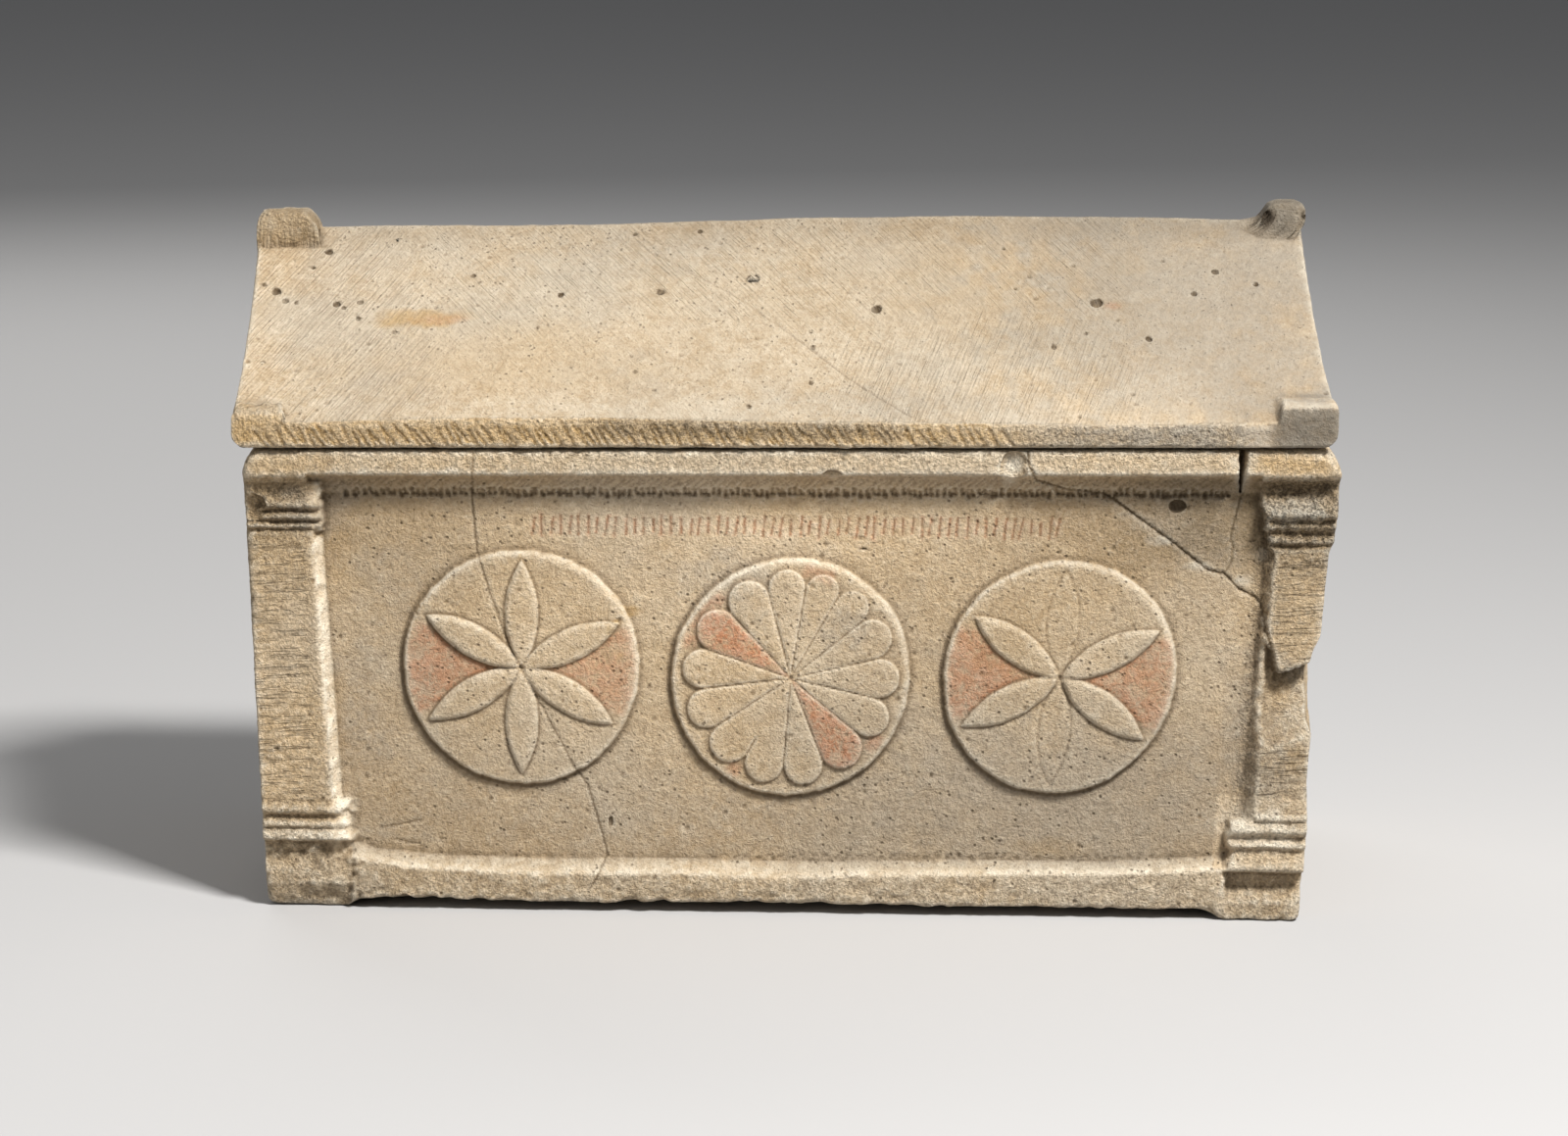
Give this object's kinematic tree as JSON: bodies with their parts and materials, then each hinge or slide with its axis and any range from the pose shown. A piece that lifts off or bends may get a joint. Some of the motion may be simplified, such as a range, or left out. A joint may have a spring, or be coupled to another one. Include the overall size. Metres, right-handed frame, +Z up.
{
  "type": "limestone ossuary",
  "caption": "Small hollow stone chest on low feet, with a carved front of pilasters and rosettes, closed by a loose gabled lid.",
  "frame": {"origin": "on the ground under the middle of the object's box", "axes": "+X along the length to the carved front's right, +Y from the carved front to the back, +Z up"},
  "size_m": [0.6084, 0.2868, 0.3906],
  "materials": {
    "limestone": "dry, matt, hand-chiselled soft limestone, pitted and worn, with ochre stains and faint red paint"
  },
  "bodies": {
    "root": {"chest": "limestone", "lid": "limestone"}
  },
  "joints": []
}
